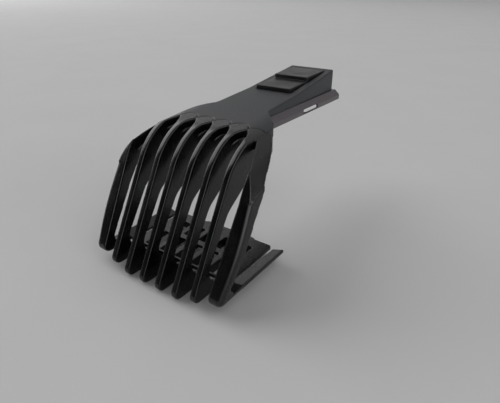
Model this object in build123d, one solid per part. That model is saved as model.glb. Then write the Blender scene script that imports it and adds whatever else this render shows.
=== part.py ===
from build123d import *
import os
from math import atan2, cos, pi, radians, sin, tan

# Clip-on guide comb of a body groomer, in millimetres, +Z up.
# X runs across the teeth, Y from the toes of the teeth to the tail.
# While it is built, Y is 0 where the front line of the teeth meets the table;
# the last step moves it so that the middle of its length stands over the origin.

# ---- teeth
tooth_count = 8
tooth_pitch = 5.6
tooth_width = 1.7
tooth_nose_radius = 0.35
outer_tooth_width = 3.2
outer_tooth_nose_radius = 1.3  # of its outer edge
tooth_lean = 28.8            # degrees from upright
toe_radius = 1.8
toe_depth = 2.5              # front to back, just above the grid
toe_gusset_radius = 4.0
knee_height = 20.0
tooth_depth = 4.3            # front to back, at the knee
outer_tooth_depth = 4.1
knee_radius = 8.0
outer_rise = 52.0            # degrees, the back edge of an outer tooth above the knee
rib_depth = 7.7              # from the deck down to the underside of a rib
inner_crown_radius = 9.3
rib_length = 6.2             # behind the apex of a gap
rib_level_length = 6.0       # of the level underside at the end of a rib

# ---- the sides of the outer teeth lean out to a widest height, then back in
side_bow = 1.8
inner_side_bow = 1.1
inner_side_bow_height = 25.0
side_bow_height = 13.5
side_bow_radius = 60.0
side_top_bow = 0.2           # what is left of it at crown_height

# ---- keel: the underside is flat in the middle and rises towards the outer teeth
keel_half_width = 9.5
keel_rise = 2.9              # at the outer sides of the head

# ---- crown: the roof over the teeth
crown_height = 36.4
crown_setback = 6.6          # behind the front line, where the deck has its height
crown_radius = 17.0
deck_rise = 5.2              # degrees
shoulder_radius = 13.0
roof_thickness = 2.2
skirt_thickness = 1.1
gap_apex_setback = 1.4       # of the apex of each gap, behind crown_y
outer_gap_apex_setback = 0.2
gap_taper = 4.6              # length over which a gap narrows to its apex
outer_gap_taper = 8.5
petal_gap = 0.2
seam = 0.05
crown_band_overhang = 1.0    # behind the ribs
shoulder_split = 15.0        # half width where the skirt meets the cheeks

# ---- cheeks
cheek_step = 0.25            # the side of the cheek lies this far inside that of the outer tooth
cheek_overhang = 0.8         # behind the ribs
crease_drop = 10.5           # of the front of the crease, below crown_height
crease_setback = 2.9         # behind the front line
crease_rise = 15.0           # degrees

# ---- grid under the teeth
grid_height = 3.0
grid_thickness = 1.0
grid_corner_radius = 1.0
front_window_setback = 0.8   # behind the front of the grid
front_window_length = 7.5
rear_window_length = 5.5
cross_bar_depth = 2.0
tie_bar_depth = 4.0
lip_length = 3.3             # of the thin lip behind the tie bar, which the comb stands on
lip_thickness = 0.9
lip_corner_radius = 1.2
side_slit_width = 1.1        # between the grid and the outer runners
side_skid_width = 3.0
side_skid_thickness = 1.1    # at its outer edge; its inner edge is level with the grid
side_skid_edge_radius = 0.35
side_skid_rear_setback = 1.3 # in front of the rear of the tie bar

# ---- arm
shoulder_length = 6.5        # over which the shoulders narrow to the neck
neck_half_width = 9.2
neck_wall_drop = 1.4         # of the walls under the shoulders, below those of the arm
tail_half_width = 8.2
tail_rise = 7.8              # degrees
tail_frame = 2.1             # of the deck behind the window
arm_wall = 1.1
deck_thickness = 1.2
arm_drop = 0.4               # from crown_height down to the lower edge of the arm's walls
neck_overlap = 0.8           # of the skirt, over the tail
arm_edge_radius = 0.5

# ---- rails
rail_setback = 0.5           # behind the neck
rail_overhang = 1.3          # behind the tail
rail_half_width = 10.5
rail_shelf_half_width = 8.9
rail_shelf_inner = 6.6
rail_shelf_thickness = 1.0
rail_drop = 1.5              # from the shelf down to the edge strip
rail_depth = 3.0
rail_strip_width = 0.6
slot_setback = 17.0          # behind the front of the rail
slot_length = 9.3
slot_height = 1.1
slot_rise = 0.4              # above the lower edge of the rail
detent_radius = 0.45
detent_setback = 1.8         # behind the front of the slot

# ---- selector: a rocking button with two stepped thumb pads
pad_half_width = 6.0
pad_setback = 16.0           # behind the front of the rails
front_pad_length = 10.5
rear_pad_length = 11.9
front_pad_step = 1.15        # above the deck, at the front of each pad
rear_pad_step = 1.45
pad_rear_stand = 0.3         # above the deck, at the back of each pad
pad_edge_radius = 0.25
button_wall = 1.0
window_side_gap = 0.2
window_front_gap = 0.2
window_rear_gap = 0.5
pivot_rise = 1.6             # above the lower edge of the arm's walls
pivot_pin_radius = 0.75
pivot_running_gap = 0.05
pivot_pin_seat = 0.6         # how far the pin enters each wall of the arm
pin_seat_gap = 0.02
lug_radius = 1.6
lug_thickness = 1.1

# ---- latch and spring under the button
pawl_half_width = 2.2
pawl_thickness = 1.6
pawl_setback = 1.6           # behind the front of the front pad
pawl_drop = 1.1              # below the lower edge of the arm's walls
pawl_hook = 0.9
seat_margin = 0.2            # round the feet of the spring
seat_thickness = 0.8
boss_half_width = 2.5
boss_inset = 5.1             # in front of the end of the rear pad
boss_length = 3.0
spring_half_width = 2.0
spring_half_span = 4.0
spring_rise = 2.1
spring_thickness = 0.3
spring_foot = 0.7
spring_boss_gap = 0.1

reach = 60.0                 # longer than any cut has to be

# ---- slopes and places, worked out from the sizes above
lean_slope = tan(radians(tooth_lean))
deck_slope = tan(radians(deck_rise))
tail_slope = tan(radians(tail_rise))
crown_y = crown_height * lean_slope + crown_setback
crease_height = crown_height - crease_drop
crease_y = crease_height * lean_slope + crease_setback
gap_apex_y = crown_y + gap_apex_setback
outer_gap_apex_y = crown_y + outer_gap_apex_setback
rib_end_y = gap_apex_y + rib_length
crown_band_end_y = rib_end_y + crown_band_overhang
cheek_rear_y = rib_end_y + cheek_overhang
neck_y = rib_end_y + shoulder_length
rail_start_y = neck_y + rail_setback
neck_overlap_y = rail_start_y + neck_overlap
front_pad_y = rail_start_y + pad_setback
rear_pad_y = front_pad_y + front_pad_length
pad_end_y = rear_pad_y + rear_pad_length
tail_y = pad_end_y + window_rear_gap + tail_frame
rail_end_y = tail_y + rail_overhang
slot_start_y = rail_start_y + slot_setback
boss_y = pad_end_y - boss_inset
arm_wall_bottom = crown_height - arm_drop
pivot_height = arm_wall_bottom + pivot_rise
pawl_bottom = arm_wall_bottom - pawl_drop
seat_top = arm_wall_bottom + seat_thickness
boss_bottom = seat_top + spring_rise + spring_boss_gap
petal_half_width = (tooth_pitch - petal_gap) / 2
head_half_width = (tooth_count - 1) * tooth_pitch / 2 + outer_tooth_width / 2
outer_inside = head_half_width - outer_tooth_width
side_skid_height = keel_rise + side_skid_thickness


def tooth_x(number):
    """Centre of a tooth, numbered from 1 at the left."""
    return (number - 1 - (tooth_count - 1) / 2) * tooth_pitch


def front_y(height):
    return height * lean_slope


def deck_z(y):
    return crown_height + (y - crown_y) * deck_slope


def top_z(y):
    """Top of the arm: the deck, then the steeper tail."""
    if y <= front_pad_y:
        return deck_z(y)
    return deck_z(front_pad_y) + (y - front_pad_y) * tail_slope


def rib_z(y):
    return deck_z(y) - rib_depth


def keel_z(x):
    return max(0.0, abs(x) - keel_half_width) * keel_rise / (head_half_width - keel_half_width)


def inner_foot(outer):
    """Where the back edge of a tooth meets the grid, or the outer runner."""
    height = side_skid_height if outer else grid_height
    knee = knee_point(outer)
    share = (height - grid_height) / (knee[1] - grid_height)
    low = front_y(grid_height) + toe_depth
    return (low + share * (knee[0] - low), height)


def side_x(x, height):
    """Upper line of a bowed side: from its widest height in to the crown."""
    share = (height - side_bow_height) / (crown_height - side_bow_height)
    return x + side_bow + share * (side_top_bow - side_bow)


def knee_point(outer):
    depth = outer_tooth_depth if outer else tooth_depth
    return (front_y(knee_height) + depth, knee_height)


def inner_crown_point(outer):
    """Where the back edge of a tooth meets the underside of its rib."""
    if outer:
        knee = knee_point(True)
        rise = tan(radians(outer_rise))
        y = (knee[1] - rise * knee[0] - rib_z(0)) / (deck_slope - rise)
    else:
        y = rib_end_y - rib_level_length
    return (y, rib_z(y))


def crown_corner(inset):
    """Where the front line and the deck line cross, both moved in by inset."""
    shift_front = inset / cos(radians(tooth_lean))
    shift_deck = inset / cos(radians(deck_rise))
    y = (lean_slope * (deck_z(0) - shift_deck) + shift_front) / (1 - lean_slope * deck_slope)
    return (y, deck_z(y) - shift_deck)


def toe_end_y():
    """The teeth end and the grid begins just behind the gusset of the toe."""
    foot, knee = inner_foot(False), knee_point(False)
    angle = atan2(knee[1] - foot[1], knee[0] - foot[0])
    return foot[0] + toe_gusset_radius / tan(angle / 2) + 0.2


def front_window():
    """Start and end of the front row of windows in the grid."""
    start = toe_end_y() + front_window_setback
    return (start, start + front_window_length)


def rear_window():
    start = front_window()[1] + cross_bar_depth
    return (start, start + rear_window_length)


def tie_bar_rear_y():
    return rear_window()[1] + tie_bar_depth


def polygon(points):
    return make_face(Polyline(*points, close=True))


def rounded(face, *corners):
    """Round the corners, each given as (point, radius)."""
    for point, radius in corners:
        vertex = face.vertices().sort_by_distance(Vector(*point, 0))[0]
        face = fillet(vertex, radius)
    return face


def side_solid(face, low_x, high_x):
    """A side view, drawn as (y, z), given its thickness along X."""
    return Pos(low_x, 0, 0) * extrude(Plane.YZ * face, high_x - low_x)


def front_solid(face, low_y, high_y):
    """A front view, drawn as (x, z), given its length along Y."""
    return Pos(0, high_y, 0) * extrude(Plane.XZ * face, high_y - low_y)


def plan_solid(face, low_z=0.0, high_z=reach):
    return Pos(0, 0, low_z) * extrude(face, high_z - low_z)


def block(x, y, z):
    """A box from three (low, high) pairs."""
    size = [high - low for low, high in (x, y, z)]
    middle = [(low + high) / 2 for low, high in (x, y, z)]
    return Pos(*middle) * Box(*size)


def envelope(inset, side_inset=0.0):
    """The outer form of the head above the knee, moved in by inset, and its sides by more."""
    corner = crown_corner(inset)
    low = (front_y(knee_height) + inset / cos(radians(tooth_lean)), knee_height)
    side = polygon([low, corner, (reach, deck_z(reach) - inset / cos(radians(deck_rise))), (reach, knee_height)])
    side = rounded(side, (corner, crown_radius - inset))
    half = head_half_width + seam - inset - side_inset
    top = deck_z(0) - inset / cos(radians(deck_rise))
    low_x, high_x = side_x(half, 0), side_x(half, top)
    arch = polygon([(-low_x, 0), (low_x, 0), (high_x, top), (-high_x, top)])
    arch = rounded(arch, *[(corner, shoulder_radius - inset) for corner in ((-high_x, top), (high_x, top))])
    along = Vector(0, cos(radians(deck_rise)), sin(radians(deck_rise)))
    vault = extrude(Plane.XZ * arch, reach / along.Y, dir=along)
    return side_solid(side, -reach, reach) & vault


def tooth_face(outer, keel):
    """Side view of a tooth: toe, front line, crown, rib and curved back edge."""
    toe = (front_y(keel), keel)
    crown = crown_corner(0)
    knee, inner, foot, end = knee_point(outer), inner_crown_point(outer), inner_foot(outer), toe_end_y()
    if outer:
        rear = [(cheek_rear_y, deck_z(cheek_rear_y))]
        step = (end, side_skid_height)
    else:
        rear = [(rib_end_y, deck_z(rib_end_y)), (rib_end_y, rib_z(rib_end_y))]
        step = (end, grid_height)
    face = polygon([toe, crown, *rear, inner, knee, foot, step, (end, keel)])
    gusset = toe_gusset_radius / 2 if outer else toe_gusset_radius
    return rounded(
        face, (toe, toe_radius), (crown, crown_radius), (inner, inner_crown_radius),
        (knee, knee_radius), (foot, gusset),
    )


def front_edge(bar, x):
    """The edge of a tooth along its front line, near the knee."""
    return bar.edges().sort_by_distance(Vector(x, front_y(knee_height), knee_height))[0]


def inner_tooth_bar(number):
    """An inner tooth from toe to rib, with its two front edges rounded."""
    x = tooth_x(number)
    left, right = x - tooth_width / 2, x + tooth_width / 2
    bar = side_solid(tooth_face(False, keel_z(x)), left, right)
    return fillet([front_edge(bar, left), front_edge(bar, right)], tooth_nose_radius)


def side_slab(bowed):
    """The space between the two leaning sides of the right outer tooth."""
    wide_outer = (head_half_width + side_bow, side_bow_height)
    wide_inner = (outer_inside + inner_side_bow, inner_side_bow_height)
    face = polygon([
        (outer_inside, 0), (head_half_width, 0), wide_outer, (side_x(head_half_width, reach), reach),
        (wide_inner[0], reach), wide_inner,
    ])
    if bowed:
        face = rounded(face, (wide_outer, side_bow_radius), (wide_inner, side_bow_radius))
    return front_solid(face, -reach, reach)


def outer_tooth_bar():
    """The right outer tooth from toe to rib, with its two front edges rounded."""
    bar = side_solid(tooth_face(True, keel_z(outer_inside + outer_tooth_width / 2)), 0, reach) & side_slab(True)
    bar = fillet(front_edge(bar, outer_inside + inner_side_bow / 2), tooth_nose_radius)
    return fillet(front_edge(bar, side_x(head_half_width, knee_height)), outer_tooth_nose_radius)


def flare(start, end):
    """The side of a gap that narrows to its apex: an arc along Y at its start."""
    side = 1 if end[0] > start[0] else -1
    shift, length = abs(end[0] - start[0]), end[1] - start[1]
    radius = (shift ** 2 + length ** 2) / (2 * shift)
    half_angle = atan2(length, radius - shift) / 2
    middle = (
        start[0] + side * radius * (1 - cos(half_angle)),
        start[1] + radius * sin(half_angle),
    )
    return ThreePointArc(start, middle, end)


def petal_plan(x, grow=0.0):
    """Plan of the root of an inner tooth: a stem that flares to a round end."""
    start_y = gap_apex_y - gap_taper
    half, wide = tooth_width / 2, petal_half_width + grow
    left, right = (x - half, start_y), (x + half, start_y)
    left_apex, right_apex = (x - wide, gap_apex_y), (x + wide, gap_apex_y)
    edges = [
        Line(right, left),
        flare(left, left_apex),
        ThreePointArc(left_apex, (x, gap_apex_y + wide), right_apex),
        flare(right, right_apex),
    ]
    return make_face(edges)


def petal_disc(x):
    """What the skirt and the band leave free round the root of a tooth."""
    return plan_solid(Pos(x, gap_apex_y, 0) * Circle(petal_half_width + seam))


def between_cheeks():
    half = shoulder_split - seam
    return block((-half, half), (-reach, reach), (-reach, reach))


def inner_teeth():
    return range(2, tooth_count)


def above_crease():
    """The space above the crease line of the cheeks."""
    rise = tan(radians(crease_rise))
    low, high = 0.0, reach
    line = [(y, crease_height + (y - crease_y) * rise) for y in (low, high)]
    return side_solid(polygon([line[0], line[1], (high, 2 * reach), (low, 2 * reach)]), -reach, reach)


def make_inner_tooth(number, roof, vault):
    x = tooth_x(number)
    roof_rear = roof & block((-reach, reach), (gap_apex_y - gap_taper, reach), (0, reach))
    bar = (inner_tooth_bar(number) & vault) - roof_rear
    return bar + (roof & plan_solid(petal_plan(x)) & between_cheeks())


def on_side(piece, side):
    return piece if side > 0 else mirror(piece, Plane.YZ)


def make_outer_tooth(vault):
    return (outer_tooth_bar() & vault) - above_crease()


def make_cheek():
    """Right lobe of the head, from the skirt to the outer tooth."""
    form = envelope(0, cheek_step)
    shell = form - envelope(roof_thickness)
    root = outer_inside + inner_side_bow
    start_y = outer_gap_apex_y - outer_gap_taper
    split, wide = shoulder_split + seam, head_half_width + 2 * side_bow
    plan = polygon([
        (root, start_y), (split, outer_gap_apex_y), (split, cheek_rear_y), (wide, cheek_rear_y),
        (wide, 0), (root, 0),
    ])
    inner, rear = inner_crown_point(True), (cheek_rear_y, deck_z(cheek_rear_y))
    view = polygon([knee_point(True), inner, rear, (cheek_rear_y, reach), (0, reach), (0, knee_height)])
    lobe = shell & plan_solid(plan) & side_solid(view, -reach, reach)
    shoulder = outer_tooth_bar() & form
    return (lobe + shoulder) & above_crease()


def make_crown_band(petals):
    """Hidden inner layer of the roof, which carries the skirt and the ribs."""
    layer = envelope(skirt_thickness) - envelope(roof_thickness)
    split = shoulder_split
    span = block((-split, split), (gap_apex_y, crown_band_end_y), (0, reach))
    return (layer & span & plan_solid(arm_plan(0))) - petals


def grid_face():
    """Plan of the grid, with its rear corners rounded."""
    half, rear = head_half_width - side_skid_width - side_slit_width, tie_bar_rear_y()
    start = toe_end_y()
    face = polygon([(-half, start), (half, start), (half, rear), (-half, rear)])
    return rounded(face, ((half, rear), grid_corner_radius), ((-half, rear), grid_corner_radius))


def grid_windows():
    """Two rows of windows, one between each two inner runners."""
    clear = (tooth_pitch - tooth_width) / 2
    middles = [tooth_x(number) + tooth_pitch / 2 for number in inner_teeth()[:-1]]
    boxes = []
    for x in middles:
        for along in (front_window(), rear_window()):
            boxes.append(block((x - clear, x + clear), along, (0, reach)))
    return boxes


def make_skid_grid():
    """Plate with windows on six runners, the tie bar at its rear and its thin lip."""
    start, rear = toe_end_y(), tie_bar_rear_y()
    plate = plan_solid(grid_face(), grid_height - grid_thickness, grid_height).cut(*grid_windows())
    runners = []
    for number in inner_teeth():
        x = tooth_x(number)
        low = keel_z(x)
        runner = block((x - tooth_width / 2, x + tooth_width / 2), (start, rear - seam), (low, grid_height))
        bottom = [edge for edge in runner.edges().filter_by(Axis.Y) if edge.center().Z < low + seam]
        runners.append(fillet(bottom, tooth_nose_radius))
    half = tooth_x(inner_teeth()[-1]) + tooth_width / 2
    low = keel_z(half)
    section = polygon([
        (-half, low), (-keel_half_width, 0), (keel_half_width, 0), (half, low),
        (half, grid_height), (-half, grid_height),
    ])
    bar = front_solid(section, rear_window()[1], rear) & plan_solid(grid_face())
    lip_end_y = rear + lip_length
    corners = [(keel_half_width, lip_end_y), (-keel_half_width, lip_end_y)]
    lip = polygon([(-keel_half_width, rear_window()[1]), (keel_half_width, rear_window()[1]), *corners])
    lip = rounded(lip, *[(corner, lip_corner_radius) for corner in corners])
    return bar.fuse(plate, *runners, plan_solid(lip, 0, lip_thickness))


def make_side_skid():
    """Right outer runner: a strip that rises to its outer edge, apart from the grid."""
    inner, far = head_half_width - side_skid_width, head_half_width + side_bow
    slope = (side_skid_height - grid_height) / side_skid_width
    section = polygon([
        (inner, keel_z(inner)), (far, keel_z(far)), (far, grid_height + slope * (far - inner)),
        (inner, grid_height),
    ])
    rear = tie_bar_rear_y() - side_skid_rear_setback
    skid = front_solid(section, toe_end_y(), rear) & side_slab(False)
    outer_edges = skid.edges().filter_by(Axis.Y).sort_by(Axis.X)[-2:]
    return fillet(outer_edges, side_skid_edge_radius)


def arm_plan(inset):
    """Plan of the arm from the shoulders to the tail, moved in by inset."""
    neck, tail = neck_half_width - inset, tail_half_width - inset
    shoulder = shoulder_split - seam - inset
    start = rib_end_y - inset
    right = [(shoulder, gap_apex_y), (shoulder, start), (neck, neck_y - inset), (tail, tail_y - inset)]
    left = [(-x, y) for x, y in reversed(right)]
    return polygon(right + left)


def make_skirt():
    """Front of the arm: a thin layer over the crown, scalloped round the teeth."""
    layer = envelope(0) - envelope(skirt_thickness)
    span = block((-reach, reach), (gap_apex_y + petal_gap, neck_overlap_y), (0, reach))
    skirt = layer & span & plan_solid(arm_plan(0))
    for number in inner_teeth():
        skirt = skirt - petal_disc(tooth_x(number))
    return skirt


def make_neck_walls():
    """End walls under the shoulders, down to the level of the rails."""
    ring = plan_solid(arm_plan(0)) - plan_solid(arm_plan(arm_wall))
    low = arm_wall_bottom - neck_wall_drop
    span = block((-reach, reach), (crown_band_end_y + seam, rail_start_y), (low, reach))
    return ring & span & envelope(0)


def make_tail():
    """Hollow wedge: deck, side walls and end wall."""
    start = rail_start_y - 2 * seam
    tops = [(y, top_z(y)) for y in (start, front_pad_y, tail_y)]
    outer = polygon([(start, arm_wall_bottom), *tops, (tail_y, arm_wall_bottom)])
    roofs = [(y, z - deck_thickness) for y, z in tops]
    inner = polygon([(start, 0), *roofs, (tail_y, 0)])
    body = side_solid(outer, -reach, reach) & plan_solid(arm_plan(0))
    ridges = [
        edge for edge in body.edges()
        if edge.center().Z > arm_wall_bottom + arm_edge_radius and edge.center().Y > start + arm_edge_radius
        and abs(edge.center().X) > arm_edge_radius
    ]
    body = fillet(ridges, arm_edge_radius)
    return body - (side_solid(inner, -reach, reach) & plan_solid(arm_plan(arm_wall)))


def pin_line(radius, half_length):
    bar = Cylinder(radius, 2 * half_length, rotation=(0, 90, 0))
    return Pos(0, rear_pad_y, pivot_height) * bar


def pin_half_length():
    """The pin enters both walls of the arm, which taper towards the tail."""
    share = (rear_pad_y - neck_y) / (tail_y - neck_y)
    outer = neck_half_width + share * (tail_half_width - neck_half_width)
    return outer - arm_wall + pivot_pin_seat


def make_arm_shell():
    half = pad_half_width + window_side_gap
    window = block(
        (-half, half), (front_pad_y - window_front_gap, pad_end_y + window_rear_gap),
        (arm_wall_bottom, reach),
    )
    arm = make_skirt() + make_neck_walls() + make_tail()
    return arm - window - pin_line(pivot_pin_radius + pin_seat_gap, pin_half_length() + pin_seat_gap)


def make_rail():
    """Rail under the right wall: a shelf, a sloping flank and a springy edge strip with a detent."""
    edge, shelf = rail_half_width, rail_shelf_half_width
    top, low = arm_wall_bottom, arm_wall_bottom - rail_depth
    inside = edge - rail_strip_width
    under = top - rail_shelf_thickness
    section = polygon([
        (rail_shelf_inner, top), (shelf, top), (edge, top - rail_drop), (edge, low), (inside, low),
        (inside, under - rail_shelf_thickness), (shelf - rail_shelf_thickness / 2, under),
        (rail_shelf_inner, under),
    ])
    rail = Pos(0, rail_end_y, 0) * extrude(Plane.XZ * section, rail_end_y - rail_start_y)
    slot_low = low + slot_rise
    slot = block(
        (shelf, edge + 1), (slot_start_y, slot_start_y + slot_length), (slot_low, slot_low + slot_height),
    )
    detent = Cylinder(detent_radius, slot_rise)
    bump = Pos(inside, slot_start_y + detent_setback, low + slot_rise / 2) * detent
    rail = rail - slot + bump
    return rail


def make_spring_seat():
    """Floor inside the tail, between the two walls."""
    half = spring_half_span + spring_foot + seat_margin
    floor = block((-reach, reach), (boss_y - half, boss_y + half), (arm_wall_bottom, seat_top))
    return floor & plan_solid(arm_plan(arm_wall))


def pad_tops():
    """The stepped top of the button, from its front to its back, as (y, z)."""
    return [
        (front_pad_y, top_z(front_pad_y) + front_pad_step),
        (rear_pad_y, top_z(rear_pad_y) + pad_rear_stand),
        (rear_pad_y, top_z(rear_pad_y) + rear_pad_step),
        (pad_end_y, top_z(pad_end_y) + pad_rear_stand),
    ]


def make_selector_button():
    tops = pad_tops()
    low_front, low_rear = [top_z(y) - deck_thickness for y in (front_pad_y, pad_end_y)]
    outer = polygon([(front_pad_y, low_front), *tops, (pad_end_y, low_rear)])
    body = side_solid(outer, -pad_half_width, pad_half_width)
    crests = [
        edge for edge in body.edges()
        if edge.center().Z > top_z(edge.center().Y) + pad_rear_stand / 2
        and abs(edge.center().Y - rear_pad_y) + abs(edge.center().Z - tops[1][1]) > pad_edge_radius
    ]
    body = fillet(crests, pad_edge_radius)
    front, step, rear = front_pad_y + button_wall, rear_pad_y + button_wall, pad_end_y - button_wall
    ceiling = [
        (front, tops[0][1] - button_wall), (step, tops[1][1] - button_wall),
        (step, tops[2][1] - button_wall), (rear, tops[3][1] - button_wall),
    ]
    hollow = polygon([(front, 0), *ceiling, (rear, 0)])
    inside = pad_half_width - lug_thickness
    body = body - side_solid(hollow, -inside, inside)
    roof = top_z(rear_pad_y) - deck_thickness / 2
    for low_x in (-pad_half_width, inside):
        ear = Circle(lug_radius) + Pos(0, lug_radius / 2) * Rectangle(2 * lug_radius, lug_radius)
        lug = Pos(rear_pad_y, pivot_height) * ear
        post = polygon([
            (rear_pad_y - lug_radius, pivot_height), (rear_pad_y + lug_radius, pivot_height),
            (rear_pad_y + lug_radius, roof), (rear_pad_y - lug_radius, roof),
        ])
        body = body + side_solid(lug + post, low_x, low_x + lug_thickness)
    boss_top = tops[2][1] - button_wall / 2
    boss = block(
        (-boss_half_width, boss_half_width), (boss_y - boss_length / 2, boss_y + boss_length / 2),
        (boss_bottom, boss_top),
    )
    body = body + boss
    return body - pin_line(pivot_pin_radius + pivot_running_gap, pad_half_width + 1)


def make_latch_pawl():
    """Hook that hangs from the front pad into the channel between the rails."""
    front = front_pad_y + pawl_setback
    rear = front + pawl_thickness
    fall = (pad_tops()[1][1] - pad_tops()[0][1]) / (rear_pad_y + button_wall - front_pad_y - button_wall)
    base = pad_tops()[0][1] - button_wall
    ceiling = [base + (y - front_pad_y - button_wall) * fall for y in (front, rear)]
    hook_top = pawl_bottom + 2 * pawl_hook
    face = polygon([
        (front, ceiling[0]), (rear, ceiling[1]), (rear, pawl_bottom), (front - pawl_hook, pawl_bottom),
        (front - pawl_hook, pawl_bottom + pawl_hook), (front, hook_top),
    ])
    return side_solid(face, -pawl_half_width, pawl_half_width)


def make_leaf_spring():
    """Bowed steel strip between the seat and the boss of the button."""
    seat, rise = seat_top, spring_rise
    left, right = boss_y - spring_half_span, boss_y + spring_half_span
    thick = spring_thickness
    outer = [
        Line((left - spring_foot, seat), (left - spring_foot, seat + thick)),
        Line((left - spring_foot, seat + thick), (left, seat + thick)),
        ThreePointArc((left, seat + thick), (boss_y, seat + rise), (right, seat + thick)),
        Line((right, seat + thick), (right + spring_foot, seat + thick)),
        Line((right + spring_foot, seat + thick), (right + spring_foot, seat)),
    ]
    inner = [
        Line((right + spring_foot, seat), (right - thick, seat)),
        ThreePointArc((right - thick, seat), (boss_y, seat + rise - thick), (left + thick, seat)),
        Line((left + thick, seat), (left - spring_foot, seat)),
    ]
    return side_solid(make_face(outer + inner), -spring_half_width, spring_half_width)


def make_parts():
    """Every piece by name, in the frame it is built in."""
    vault = envelope(0) + block((-reach, reach), (-reach, reach), (-reach, knee_height))
    roof = envelope(0) - envelope(roof_thickness)
    parts = {}
    petals = Part()
    outer_tooth = make_outer_tooth(vault)
    parts["tooth_1"] = on_side(outer_tooth, -1)
    for number in inner_teeth():
        parts[f"tooth_{number}"] = make_inner_tooth(number, roof, vault)
        petals = petals + petal_disc(tooth_x(number))
    parts[f"tooth_{tooth_count}"] = outer_tooth
    pairs = {"cheek": make_cheek(), "side_skid": make_side_skid(), "rail": make_rail()}
    for name, piece in pairs.items():
        parts[f"left_{name}"] = on_side(piece, -1)
        parts[f"right_{name}"] = piece
    parts["crown_band"] = make_crown_band(petals)
    parts["skid_grid"] = make_skid_grid()
    parts["arm_shell"] = make_arm_shell()
    parts["spring_seat"] = make_spring_seat()
    parts["pivot_pin"] = pin_line(pivot_pin_radius, pin_half_length())
    parts["selector_button"] = make_selector_button()
    parts["latch_pawl"] = make_latch_pawl()
    parts["leaf_spring"] = make_leaf_spring()
    return parts


def toe_front_y():
    """Foremost point of the rounded toes that stand on the table."""
    half_angle = (pi / 2 - radians(tooth_lean)) / 2
    return toe_radius / tan(half_angle) - toe_radius


def main():
    os.makedirs("parts", exist_ok=True)
    to_origin = Pos(0, -(toe_front_y() + rail_end_y) / 2, 0)
    for name, piece in make_parts().items():
        export_step(to_origin * piece, f"parts/{name}.step")


main()
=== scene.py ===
"""Clip-on guide comb of a body groomer: moulded head, hollow arm, slide rails and thumb button.

The file is laid out as an add-on and is run as a script. All sizes are in metres.
"""
import math

import bmesh
import bpy
from bpy.props import FloatProperty, FloatVectorProperty, IntProperty, PointerProperty
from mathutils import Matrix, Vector


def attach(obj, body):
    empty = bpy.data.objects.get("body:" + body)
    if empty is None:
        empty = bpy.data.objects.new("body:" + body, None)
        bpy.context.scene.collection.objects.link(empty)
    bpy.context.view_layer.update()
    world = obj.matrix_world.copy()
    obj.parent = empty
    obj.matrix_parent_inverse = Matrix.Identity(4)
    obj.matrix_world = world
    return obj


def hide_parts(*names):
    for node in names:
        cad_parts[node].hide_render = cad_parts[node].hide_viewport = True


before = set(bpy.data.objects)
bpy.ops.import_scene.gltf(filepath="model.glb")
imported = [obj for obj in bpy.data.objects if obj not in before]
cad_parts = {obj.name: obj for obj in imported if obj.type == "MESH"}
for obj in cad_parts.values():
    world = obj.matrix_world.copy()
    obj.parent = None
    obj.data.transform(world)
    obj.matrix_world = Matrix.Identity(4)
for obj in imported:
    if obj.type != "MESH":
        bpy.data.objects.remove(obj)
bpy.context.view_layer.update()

bl_info = {
    "name": "Guide comb",
    "version": (1, 0, 0),
    "blender": (4, 5, 0),
    "location": "View3D > Sidebar > Guide comb",
    "description": "Builds the visible pieces and the finishes of a clip-on guide comb",
    "category": "Object",
}

MM = 0.001
HEAD_NODES = [f"tooth_{number}" for number in range(1, 9)] + [
    "left_cheek", "right_cheek", "left_side_skid", "right_side_skid", "skid_grid",
]


def linear(hex_code):
    """Turn an sRGB hex colour into linear values with full alpha."""
    channels = [int(hex_code[at:at + 2], 16) / 255 for at in (0, 2, 4)]
    curve = [value / 12.92 if value <= 0.04045 else ((value + 0.055) / 1.055) ** 2.4 for value in channels]
    return (*curve, 1.0)


def shade(colour, share):
    """The same colour, darker: each channel times this share."""
    return (*[value * share for value in colour[:3]], 1)


def colour_property(name, description, hex_code):
    """A colour that a user can change, from its sRGB hex value."""
    return FloatVectorProperty(
        name=name, description=description, subtype="COLOR", size=4, min=0, max=1, default=linear(hex_code),
    )


def length_property(name, description, millimetres):
    """A length that a user can change, from its value in millimetres."""
    return FloatProperty(
        name=name, description=description, unit="LENGTH", min=0, precision=5, default=millimetres * MM,
    )


class MouldingSettings(bpy.types.PropertyGroup):
    head_grain: length_property("Head detail", "Size of the finest shape kept on the teeth and cheeks", 0.2)
    arm_grain: length_property("Arm detail", "Size of the finest shape kept on the arm", 0.2)
    rail_grain: length_property("Rail detail", "Size of the finest shape kept on the rails", 0.14)
    button_grain: length_property("Button detail", "Size of the finest shape kept on the thumb button", 0.12)
    edge_softness: IntProperty(
        name="Edge softness", description="How many times the edges are relaxed", min=0, max=20, default=3,
    )


class FinishSettings(bpy.types.PropertyGroup):
    head_colour: colour_property("Head", "Colour of the glossy black plastic of the teeth", "050608")
    head_sheen: FloatProperty(
        name="Head roughness", description="How far the gloss of the teeth spreads", subtype="FACTOR",
        min=0, max=1, default=0.24,
    )
    arm_colour: colour_property("Arm", "Colour of the satin plastic of the arm", "2a2c30")
    arm_sheen: FloatProperty(
        name="Arm roughness", description="How far the sheen of the arm spreads", subtype="FACTOR",
        min=0, max=1, default=0.46,
    )
    # rails' colour is lighter than the arm's: partly their own colour, partly a painted sheen of the flanges
    rail_colour_and_painted_sheen: colour_property("Rails", "Colour of the plastic of the rails", "565055")
    button_colour: colour_property("Button", "Colour of the thumb button", "0a0b0e")


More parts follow.
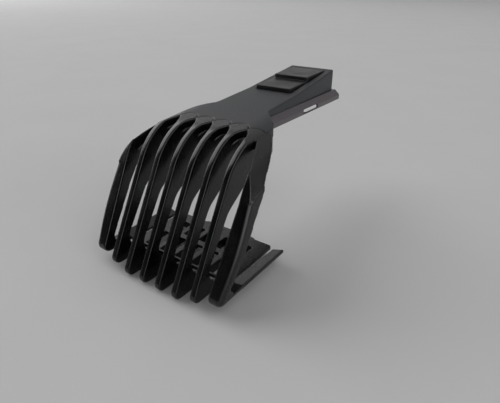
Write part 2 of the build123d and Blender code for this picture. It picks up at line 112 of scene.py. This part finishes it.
class StageSettings(bpy.types.PropertyGroup):
    floor_colour: colour_property("Floor", "Colour of the table and the backdrop", "d2d2d2")
    lamp_power: FloatProperty(
        name="Window power", description="Power of the light through the window", unit="POWER",
        min=0, default=120.0,
    )
    room_light: FloatProperty(
        name="Room light", description="Brightness of the walls of the room", min=0, default=1.8,
    )
    room_ceiling: FloatProperty(
        name="Room ceiling", description="Brightness of the ceiling, as a share of the walls",
        min=0, default=0.3,
    )
    room_front: FloatProperty(
        name="Room front", description="Brightness of the room in front, as a share of the walls",
        min=0, default=0.02,
    )


class GuideCombSettings(bpy.types.PropertyGroup):
    moulding: PointerProperty(type=MouldingSettings)
    finish: PointerProperty(type=FinishSettings)
    stage: PointerProperty(type=StageSettings)


# ---- nodes and materials

def set_inputs(tree, node, inputs):
    """Set or link a node's inputs, each by its name or number."""
    for name, value in inputs.items():
        if isinstance(value, bpy.types.NodeSocket):
            tree.links.new(value, node.inputs[name])
        else:
            node.inputs[name].default_value = value


def add_node(tree, kind, inputs=None, **settings):
    """Add a node with its settings and its inputs."""
    node = tree.nodes.new(kind)
    for name, value in settings.items():
        setattr(node, name, value)
    set_inputs(tree, node, inputs or {})
    return node


def new_material(name):
    """A material with only its output and a principled shader, with its node tree and the shader."""
    made = bpy.data.materials.new(name)
    made.use_nodes = True
    tree = made.node_tree
    return made, tree, tree.nodes["Principled BSDF"]


def per_length(millimetres):
    """Noise scale at which one feature is about this long."""
    return 1 / (millimetres * MM)


def set_ramp(node, stops):
    """Give a colour ramp its stops, each a place and a grey level or a colour."""
    ramp = node.color_ramp
    while len(ramp.elements) < len(stops):
        ramp.elements.new(0.5)
    for element, (place, level) in zip(ramp.elements, stops):
        element.position = place
        element.color = level if isinstance(level, tuple) else (level, level, level, 1)
    return node.outputs["Color"]


def glossy_moulded_abs(finish):
    """ABS moulded against polished steel.

    The polish leaves a deep gloss that shows the room in it. Slow ripples of the
    surface bend the reflections a little, and hairline scratches from use dull them. The
    sharpest rounded edges are given a bluish grey a shade lighter: partly wear, partly a
    painted highlight along the edges. Scratches of a few hundredths of a millimetre are
    drawn as 0.16 mm, as coarse as they need to show.
    """
    made, tree, shader = new_material("glossy_moulded_abs")
    place = add_node(tree, "ShaderNodeTexCoord").outputs["Object"]
    ripple = add_node(tree, "ShaderNodeTexNoise", {"Vector": place, "Scale": per_length(3.5), "Detail": 1.5})
    tooth_lean, drift, stretch = math.radians(29), 0.05, 0.07
    along = add_node(
        tree, "ShaderNodeMapping",
        {"Vector": place, "Rotation": (-tooth_lean, 0, drift), "Scale": (1, 1, stretch)},
    )
    hairline = add_node(
        tree, "ShaderNodeTexNoise",
        {"Vector": along.outputs["Vector"], "Scale": per_length(0.16), "Detail": 3, "Roughness": 0.6},
    )
    scratch = set_ramp(
        add_node(tree, "ShaderNodeValToRGB", {"Fac": hairline.outputs["Fac"]}), [(0.6, 0.0), (0.72, 1.0)],
    )
    smear = add_node(tree, "ShaderNodeTexNoise", {"Vector": place, "Scale": per_length(7), "Detail": 4})
    dull = add_node(
        tree, "ShaderNodeMapRange",
        {"Value": smear.outputs["Fac"], "From Min": 0.35, "From Max": 0.7,
         "To Min": finish.head_sheen - 0.05, "To Max": finish.head_sheen + 0.09},
    )
    scratch_roughness = 0.12
    rough = add_node(
        tree, "ShaderNodeMath", {0: scratch, 1: scratch_roughness, 2: dull.outputs["Result"]},
        operation="MULTIPLY_ADD",
    )
    # painted highlight and wear: the sharpest convex edges (high pointiness) turn a lighter bluish grey
    pointiness = add_node(tree, "ShaderNodeNewGeometry").outputs["Pointiness"]
    edge_wear_and_highlight = set_ramp(
        add_node(tree, "ShaderNodeValToRGB", {"Fac": pointiness}), [(0.53, 0.0), (0.6, 1.0)],
    )
    # lighter bluish grey of the edges: partly wear, partly a painted highlight
    edge_wear_and_highlight_colour = linear("1a1b20")
    colour = add_node(
        tree, "ShaderNodeMix", {0: edge_wear_and_highlight, 6: finish.head_colour, 7: edge_wear_and_highlight_colour}, data_type="RGBA",
    )
    swell = add_node(
        tree, "ShaderNodeBump", {"Height": ripple.outputs["Fac"], "Distance": 0.05 * MM, "Strength": 0.35},
    )
    marks = add_node(
        tree, "ShaderNodeBump",
        {"Height": scratch, "Distance": 0.004 * MM, "Strength": 0.5, "Normal": swell.outputs["Normal"]},
        invert=True,
    )
    set_inputs(tree, shader, {
        "Base Color": colour.outputs[2], "Roughness": rough.outputs[0], "Normal": marks.outputs["Normal"],
        "IOR": 1.53,
    })
    return made


def satin_moulded_abs(finish):
    """ABS moulded against spark-eroded steel.

    Spark erosion leaves fine, even pits, so the surface is a dark grey satin with a soft
    highlight. The pits of about 0.05 mm are drawn as 0.3 mm, as coarse as they need to show.
    """
    made, tree, shader = new_material("satin_moulded_abs")
    place = add_node(tree, "ShaderNodeTexCoord").outputs["Object"]
    pits = add_node(
        tree, "ShaderNodeTexNoise",
        {"Vector": place, "Scale": per_length(0.3), "Detail": 3, "Roughness": 0.65},
    )
    cloud = add_node(tree, "ShaderNodeTexNoise", {"Vector": place, "Scale": per_length(9), "Detail": 3})
    tone = set_ramp(
        add_node(tree, "ShaderNodeValToRGB", {"Fac": cloud.outputs["Fac"]}),
        [(0.3, shade(finish.arm_colour, 0.88)), (0.7, tuple(finish.arm_colour))],
    )
    fleck = set_ramp(
        add_node(tree, "ShaderNodeValToRGB", {"Fac": pits.outputs["Fac"]}), [(0.35, 0.86), (0.65, 1.0)],
    )
    colour = add_node(
        tree, "ShaderNodeMix", {0: 1.0, 6: tone, 7: fleck}, data_type="RGBA", blend_type="MULTIPLY",
    )
    rough = add_node(
        tree, "ShaderNodeMapRange",
        {"Value": pits.outputs["Fac"], "From Min": 0.3, "From Max": 0.7,
         "To Min": finish.arm_sheen - 0.06, "To Max": finish.arm_sheen + 0.08},
    )
    bump = add_node(
        tree, "ShaderNodeBump", {"Height": pits.outputs["Fac"], "Distance": 0.02 * MM, "Strength": 0.45},
    )
    set_inputs(tree, shader, {
        "Base Color": colour.outputs[2], "Roughness": rough.outputs["Result"],
        "Normal": bump.outputs["Normal"], "IOR": 1.5,
    })
    return made


def rail_abs_rubbed_and_painted_sheen(finish):
    """ABS rail that slides on the handle.

    Sliding has rubbed the moulded satin to a half gloss, in fine lines along the rail.
    Its base colour is a light brownish grey, lighter than the arm: partly the rails' own
    colour, partly a painted sheen that stands in for the room reflected in the flanges.
    """
    made, tree, shader = new_material("rail_abs_rubbed_and_painted_sheen")
    place = add_node(tree, "ShaderNodeTexCoord").outputs["Object"]
    along = add_node(tree, "ShaderNodeMapping", {"Vector": place, "Scale": (1, 0.06, 1)})
    lines = add_node(
        tree, "ShaderNodeTexNoise",
        {"Vector": along.outputs["Vector"], "Scale": per_length(0.25), "Detail": 4, "Roughness": 0.6},
    )
    # painted sheen: the lighter rail colour stands in for the room reflected in the flanges; the fine lines
    # vary its tone
    tone = set_ramp(
        add_node(tree, "ShaderNodeValToRGB", {"Fac": lines.outputs["Fac"]}),
        [(0.3, shade(finish.rail_colour_and_painted_sheen, 0.75)), (0.7, tuple(finish.rail_colour_and_painted_sheen))],
    )
    rough = add_node(
        tree, "ShaderNodeMapRange",
        {"Value": lines.outputs["Fac"], "From Min": 0.3, "From Max": 0.7, "To Min": 0.26, "To Max": 0.4},
    )
    bump = add_node(
        tree, "ShaderNodeBump", {"Height": lines.outputs["Fac"], "Distance": 0.012 * MM, "Strength": 0.4},
    )
    set_inputs(tree, shader, {
        "Base Color": tone, "Roughness": rough.outputs["Result"],
        "Normal": bump.outputs["Normal"], "IOR": 1.5,
    })
    return made


def thumb_worn_abs(finish):
    """Black ABS button with a light texture, polished in patches by the thumb."""
    made, tree, shader = new_material("thumb_worn_abs")
    place = add_node(tree, "ShaderNodeTexCoord").outputs["Object"]
    pits = add_node(tree, "ShaderNodeTexNoise", {"Vector": place, "Scale": per_length(0.22), "Detail": 2})
    patch = add_node(tree, "ShaderNodeTexNoise", {"Vector": place, "Scale": per_length(5), "Detail": 2})
    rough = add_node(
        tree, "ShaderNodeMapRange",
        {"Value": patch.outputs["Fac"], "From Min": 0.3, "From Max": 0.7, "To Min": 0.3, "To Max": 0.42},
    )
    tone = set_ramp(
        add_node(tree, "ShaderNodeValToRGB", {"Fac": pits.outputs["Fac"]}),
        [(0.3, shade(finish.button_colour, 0.7)), (0.7, tuple(finish.button_colour))],
    )
    bump = add_node(
        tree, "ShaderNodeBump", {"Height": pits.outputs["Fac"], "Distance": 0.015 * MM, "Strength": 0.35},
    )
    set_inputs(tree, shader, {
        "Base Color": tone, "Roughness": rough.outputs["Result"],
        "Normal": bump.outputs["Normal"], "IOR": 1.53,
    })
    return made


def turned_acetal():
    """Natural acetal pin, turned on a lathe: a waxy off-white with fine rings round its axis.

    The marks of the lathe are drawn as rings about 0.6 mm apart, as coarse as they need to show.
    """
    made, tree, shader = new_material("turned_acetal")
    place = add_node(tree, "ShaderNodeTexCoord").outputs["Object"]
    ring_spacing, bands_per_scale = 0.594, 20 / (2 * math.pi)
    rings = add_node(
        tree, "ShaderNodeTexWave",
        {"Vector": place, "Scale": per_length(ring_spacing) / bands_per_scale, "Distortion": 0.4},
        wave_type="BANDS", bands_direction="X",
    )
    tone = set_ramp(
        add_node(tree, "ShaderNodeValToRGB", {"Fac": rings.outputs["Fac"]}),
        [(0.2, linear("c9c4b6")), (0.8, linear("ddd9cd"))],
    )
    bump = add_node(
        tree, "ShaderNodeBump", {"Height": rings.outputs["Fac"], "Distance": 0.01 * MM, "Strength": 0.4},
    )
    set_inputs(tree, shader, {
        "Base Color": tone, "Normal": bump.outputs["Normal"], "Roughness": 0.4, "IOR": 1.48,
    })
    return made


def rolled_spring_steel():
    """Blue-tempered strip, rolled: straight fine lines along the strip and a steely sheen."""
    made, tree, shader = new_material("rolled_spring_steel")
    place = add_node(tree, "ShaderNodeTexCoord").outputs["Object"]
    along = add_node(tree, "ShaderNodeMapping", {"Vector": place, "Scale": (1, 0.04, 1)})
    lines = add_node(
        tree, "ShaderNodeTexNoise", {"Vector": along.outputs["Vector"], "Scale": per_length(0.12)},
    )
    tone = set_ramp(
        add_node(tree, "ShaderNodeValToRGB", {"Fac": lines.outputs["Fac"]}),
        [(0.3, linear("7d838c")), (0.7, linear("a4a9b0"))],
    )
    rough = add_node(
        tree, "ShaderNodeMapRange", {"Value": lines.outputs["Fac"], "To Min": 0.22, "To Max": 0.42},
    )
    set_inputs(tree, shader, {"Base Color": tone, "Roughness": rough.outputs["Result"], "Metallic": 1.0})
    return made


def coated_board(stage):
    """Matt pale board, coated: it lies under and behind the comb, with a faint mottle and no sheen."""
    made, tree, shader = new_material("coated_board")
    place = add_node(tree, "ShaderNodeTexCoord").outputs["Object"]
    mottle = add_node(tree, "ShaderNodeTexNoise", {"Vector": place, "Scale": per_length(60), "Detail": 3})
    tone = set_ramp(
        add_node(tree, "ShaderNodeValToRGB", {"Fac": mottle.outputs["Fac"]}),
        [(0.3, shade(stage.floor_colour, 0.97)), (0.7, tuple(stage.floor_colour))],
    )
    set_inputs(tree, shader, {"Base Color": tone, "Roughness": 0.95, "Specular IOR Level": 0.0})
    return made


# ---- meshes

def link(name, data):
    """Put a new object in the scene."""
    made = bpy.data.objects.new(name, data)
    bpy.context.scene.collection.objects.link(made)
    return made


def apply_modifiers(piece):
    """Apply the modifiers of a piece and shade it smooth."""
    evaluated = piece.evaluated_get(bpy.context.evaluated_depsgraph_get())
    mesh = bpy.data.meshes.new_from_object(evaluated)
    piece.modifiers.clear()
    piece.data = mesh
    for face in mesh.polygons:
        face.use_smooth = True


def moulding(name, nodes, detail, softness, body):
    """One moulded piece from CAD nodes: their solids joined and every edge softened."""
    joined = bmesh.new()
    for node in nodes:
        joined.from_mesh(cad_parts[node].data)
    mesh = bpy.data.meshes.new(name)
    joined.to_mesh(mesh)
    joined.free()
    piece = link(name, mesh)
    skin = piece.modifiers.new("skin", "REMESH")
    skin.mode = "VOXEL"
    skin.voxel_size = detail
    relax = piece.modifiers.new("relax", "SMOOTH")
    relax.factor = 0.5
    relax.iterations = softness
    apply_modifiers(piece)
    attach(piece, body)
    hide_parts(*nodes)
    return piece


def dress(piece, material):
    """Give a piece this material alone."""
    piece.data.materials.clear()
    piece.data.materials.append(material)
    return piece


# ---- operators

class GUIDECOMB_OT_stage(bpy.types.Operator):
    """Put up the board, the window, the room and the camera"""
    bl_idname = "guide_comb.stage"
    bl_label = "Stage"

    def execute(self, context):
        stage = context.scene.guide_comb.stage
        self.add_board(stage)
        self.add_window(stage)
        self.add_room(context, stage)
        self.add_camera(context)
        context.scene.view_settings.view_transform = "Standard"
        return {"FINISHED"}

    def add_board(self, stage):
        """A sheet that lies flat and curves up behind the comb."""
        near_y, bend_y, bend_radius, top_z, half_width = -1.5, 2.4, 0.4, 2.4, 4.5
        line = [(near_y, 0.0), (bend_y, 0.0)]
        bend_steps = 12
        for step in range(1, bend_steps + 1):
            angle = math.radians(90) * step / bend_steps
            line.append((bend_y + bend_radius * math.sin(angle), bend_radius * (1 - math.cos(angle))))
        line.append((bend_y + bend_radius, top_z))
        points = [(x, y, z) for y, z in line for x in (-half_width, half_width)]
        faces = [(2 * row, 2 * row + 1, 2 * row + 3, 2 * row + 2) for row in range(len(line) - 1)]
        mesh = bpy.data.meshes.new("board")
        mesh.from_pydata(points, [], faces)
        for face in mesh.polygons:
            face.use_smooth = True
        board = dress(link("board", mesh), coated_board(stage))

    def add_window(self, stage):
        """A wide window at the left, far enough away to light the board evenly."""
        window_width = 4.0
        middle_of_comb = Vector((0, 0, 0.02))
        light = bpy.data.lights.new("window", "AREA")
        light.size = window_width
        light.energy = stage.lamp_power
        window = link("window", light)
        window.location = (-3.6, -0.3, 2.4)
        window.rotation_euler = (middle_of_comb - window.location).to_track_quat("-Z", "Y").to_euler()

    def add_room(self, context, stage):
        """A room with pale walls, a dimmer ceiling and a dark side in front of the comb."""
        world = bpy.data.worlds.new("room")
        context.scene.world = world
        world.use_nodes = True
        tree = world.node_tree
        background = tree.nodes["Background"]
        direction = add_node(tree, "ShaderNodeTexCoord").outputs["Generated"]
        dark_side = Vector((-0.5, -0.8, 0.15)).normalized()
        to_dark = add_node(
            tree, "ShaderNodeVectorMath", {0: direction, 1: dark_side}, operation="DOT_PRODUCT",
        )
        side = add_node(
            tree, "ShaderNodeMapRange",
            {"Value": to_dark.outputs["Value"], "From Min": -0.1, "From Max": 0.65,
             "To Min": stage.room_light, "To Max": stage.room_light * stage.room_front},
            interpolation_type="SMOOTHSTEP",
        )
        height = add_node(tree, "ShaderNodeSeparateXYZ", {"Vector": direction}).outputs["Z"]
        wall_top, ceiling_start = 0.3, 0.7
        ceiling = add_node(
            tree, "ShaderNodeMapRange",
            {"Value": height, "From Min": wall_top, "From Max": ceiling_start,
             "To Min": 1.0, "To Max": stage.room_ceiling},
            interpolation_type="SMOOTHSTEP",
        )
        level = add_node(
            tree, "ShaderNodeMath", {0: side.outputs["Result"], 1: ceiling.outputs["Result"]},
            operation="MULTIPLY",
        )
        set_inputs(tree, background, {"Color": linear("ffffff"), "Strength": level.outputs["Value"]})

    def add_camera(self, context):
        """A camera at the height and angle from which the comb is seen."""
        data = bpy.data.cameras.new("camera")
        focal_length_pixels, picture_width_pixels = 416, 500
        data.sensor_width = 36
        data.lens = data.sensor_width * focal_length_pixels / picture_width_pixels
        data.clip_start = 0.01
        camera = link("camera", data)
        camera.location = (0.06845, -0.0943, 0.06736)
        camera.rotation_euler = (math.radians(62.7), 0, math.radians(35.2))
        context.scene.camera = camera


class GUIDECOMB_OT_head(bpy.types.Operator):
    """Mould the teeth, cheeks, runners and grid as one glossy piece"""
    bl_idname = "guide_comb.head"
    bl_label = "Head"

    def execute(self, context):
        settings = context.scene.guide_comb
        head = moulding(
            "head_moulding", HEAD_NODES, settings.moulding.head_grain,
            settings.moulding.edge_softness, "comb",
        )
        dress(head, glossy_moulded_abs(settings.finish))
        return {"FINISHED"}


class GUIDECOMB_OT_arm(bpy.types.Operator):
    """Mould the hollow arm with its skirt, inner band and spring seat"""
    bl_idname = "guide_comb.arm"
    bl_label = "Arm"

    def execute(self, context):
        settings = context.scene.guide_comb
        arm = moulding(
            "arm_moulding", ["arm_shell", "crown_band", "spring_seat"], settings.moulding.arm_grain,
            settings.moulding.edge_softness // 2, "comb",
        )
        dress(arm, satin_moulded_abs(settings.finish))
        return {"FINISHED"}


class GUIDECOMB_OT_rails(bpy.types.Operator):
    """Mould the two slide rails with their slots and detents"""
    bl_idname = "guide_comb.rails"
    bl_label = "Rails"

    def execute(self, context):
        settings = context.scene.guide_comb
        material = rail_abs_rubbed_and_painted_sheen(settings.finish)
        for side in ("left", "right"):
            rail = moulding(
                f"{side}_rail_moulding", [f"{side}_rail"], settings.moulding.rail_grain,
                settings.moulding.edge_softness // 2, "comb",
            )
            dress(rail, material)
        return {"FINISHED"}


class GUIDECOMB_OT_selector(bpy.types.Operator):
    """Mould the rocking thumb button with its two stepped pads, and finish its latch"""
    bl_idname = "guide_comb.selector"
    bl_label = "Selector"

    def execute(self, context):
        settings = context.scene.guide_comb
        material = thumb_worn_abs(settings.finish)
        button = moulding(
            "thumb_button", ["selector_button"], settings.moulding.button_grain,
            settings.moulding.edge_softness // 3, "selector",
        )
        dress(button, material)
        dress(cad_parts["latch_pawl"], material)
        return {"FINISHED"}


class GUIDECOMB_OT_fittings(bpy.types.Operator):
    """Finish the pivot pin and the leaf spring"""
    bl_idname = "guide_comb.fittings"
    bl_label = "Fittings"

    def execute(self, context):
        dress(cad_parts["pivot_pin"], turned_acetal())
        dress(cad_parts["leaf_spring"], rolled_spring_steel())
        return {"FINISHED"}


OPERATORS = (
    GUIDECOMB_OT_stage, GUIDECOMB_OT_head, GUIDECOMB_OT_arm, GUIDECOMB_OT_rails, GUIDECOMB_OT_selector,
    GUIDECOMB_OT_fittings,
)


class GUIDECOMB_PT_panel(bpy.types.Panel):
    """Lists the pieces of the comb and their settings"""
    bl_idname = "GUIDECOMB_PT_panel"
    bl_label = "Guide comb"
    bl_space_type = "VIEW_3D"
    bl_region_type = "UI"
    bl_category = "Guide comb"

    def draw(self, context):
        settings = context.scene.guide_comb
        for operator in OPERATORS:
            self.layout.operator(operator.bl_idname)
        for group in (settings.moulding, settings.finish, settings.stage):
            box = self.layout.box()
            for name in group.__annotations__:
                box.prop(group, name)


CLASSES = (
    MouldingSettings, FinishSettings, StageSettings, GuideCombSettings, *OPERATORS, GUIDECOMB_PT_panel,
)


def register():
    for made in CLASSES:
        bpy.utils.register_class(made)
    bpy.types.Scene.guide_comb = PointerProperty(type=GuideCombSettings)


def unregister():
    del bpy.types.Scene.guide_comb
    for made in reversed(CLASSES):
        bpy.utils.unregister_class(made)


def main():
    register()
    bpy.ops.guide_comb.stage()
    bpy.ops.guide_comb.head()
    bpy.ops.guide_comb.arm()
    bpy.ops.guide_comb.rails()
    bpy.ops.guide_comb.selector()
    bpy.ops.guide_comb.fittings()


if __name__ == "__main__":
    main()
